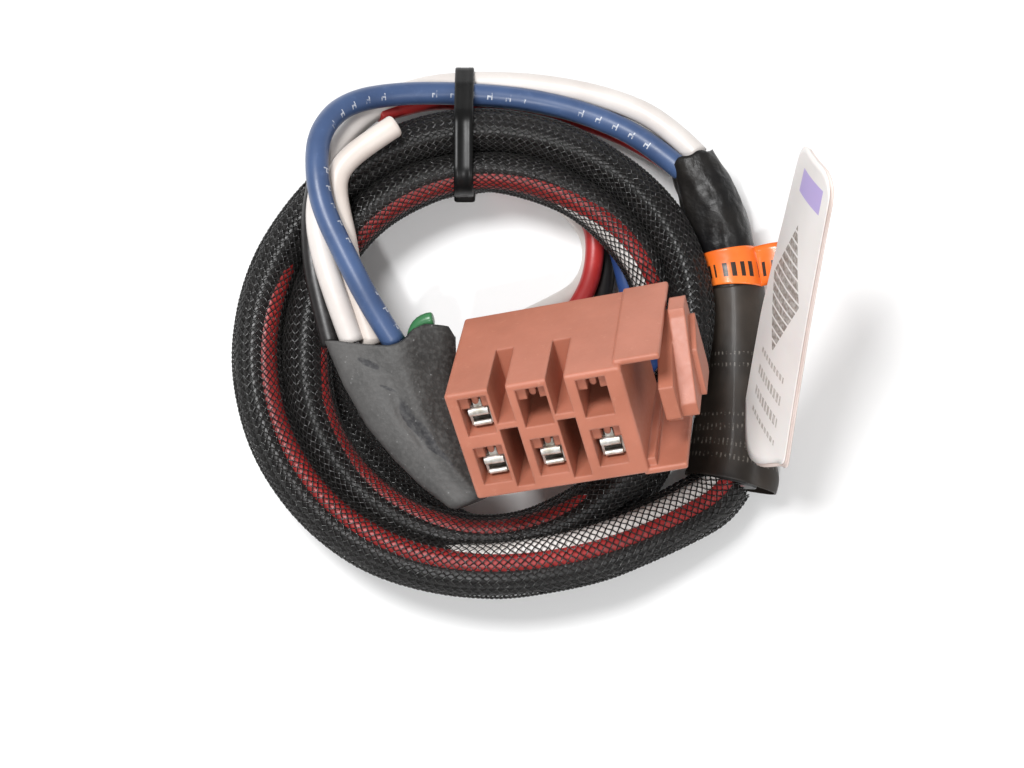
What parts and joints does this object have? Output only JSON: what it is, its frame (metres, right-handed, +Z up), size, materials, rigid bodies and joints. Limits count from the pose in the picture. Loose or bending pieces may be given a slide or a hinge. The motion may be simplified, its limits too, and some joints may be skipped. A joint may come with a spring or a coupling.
{
  "type": "brake controller wiring adapter",
  "caption": "Coiled braided wiring adapter with a latching plug connector and loose lead wires, for connecting a trailer brake controller to a tow vehicle.",
  "frame": {"origin": "bottom centre of the whole object's box; the coil lies on the plane Z = 0", "axes": "+Z up out of the coil; +Y from the connector's mating face towards the tied side of the coil; +X from the boot towards the shrink tube and flag"},
  "size_m": [0.0896, 0.0868, 0.0482],
  "materials": {
    "braid": "open diamond braid of black polyester monofilament, shiny strands",
    "heat_shrink": "glossy black heat-shrink with shallow wrinkles",
    "orange_label": "glossy orange vinyl label band",
    "clear_wrap": "smooth glossy overlaminate over black",
    "label_paper": null,
    "blue_insulation": "satin PVC insulation",
    "white_insulation": "satin PVC insulation",
    "black_insulation": "satin PVC insulation",
    "red_insulation": "satin PVC insulation",
    "green_insulation": "satin PVC insulation",
    "boot_rubber": "matt charcoal, fine speckle",
    "tie_nylon": "black nylon, slight sheen",
    "connector_plastic": "terracotta moulded nylon, fine moulded surface",
    "terminal_metal": "tin-plated copper alloy, bright"
  },
  "bodies": {
    "loom": {"sleeve_coil": "braid", "sleeve_tail": "braid", "shrink_tube": "heat_shrink", "splice_bundle": "black_insulation", "orange_band": "orange_label", "wrap_label": "clear_wrap", "blue_wire": "blue_insulation", "white_wire_outer": "white_insulation", "white_wire_inner": "white_insulation", "black_wire": "black_insulation", "red_wire": "red_insulation", "green_wire": "green_insulation", "boot": "boot_rubber", "cable_tie": "tie_nylon", "connector_housing": "connector_plastic", "pigtail_white": "white_insulation", "pigtail_red": "red_insulation", "pigtail_black": "black_insulation", "pigtail_blue": "blue_insulation", "terminal_1": "terminal_metal", "terminal_2": "terminal_metal", "terminal_3": "terminal_metal", "terminal_4": "terminal_metal"},
    "latch": {"latch_arm": "connector_plastic"},
    "flag": {"flag_label": "label_paper"}
  },
  "joints": [
    {"name": "latch_flex", "type": "hinge", "parent": "loom", "child": "latch", "pos_m": [0.02041, -0.0049, 0.03721], "axis": [-0.1197, -0.6699, 0.7327], "range_deg": [0, 8], "stiffness_Nm_per_rad": 0.02},
    {"name": "flag_bend", "type": "hinge", "parent": "loom", "child": "flag", "pos_m": [0.03636, -0.01704, 0.01222], "axis": [0.1311, 0.8535, 0.5043], "range_deg": [-20, 20], "stiffness_Nm_per_rad": 0.01}
  ]
}
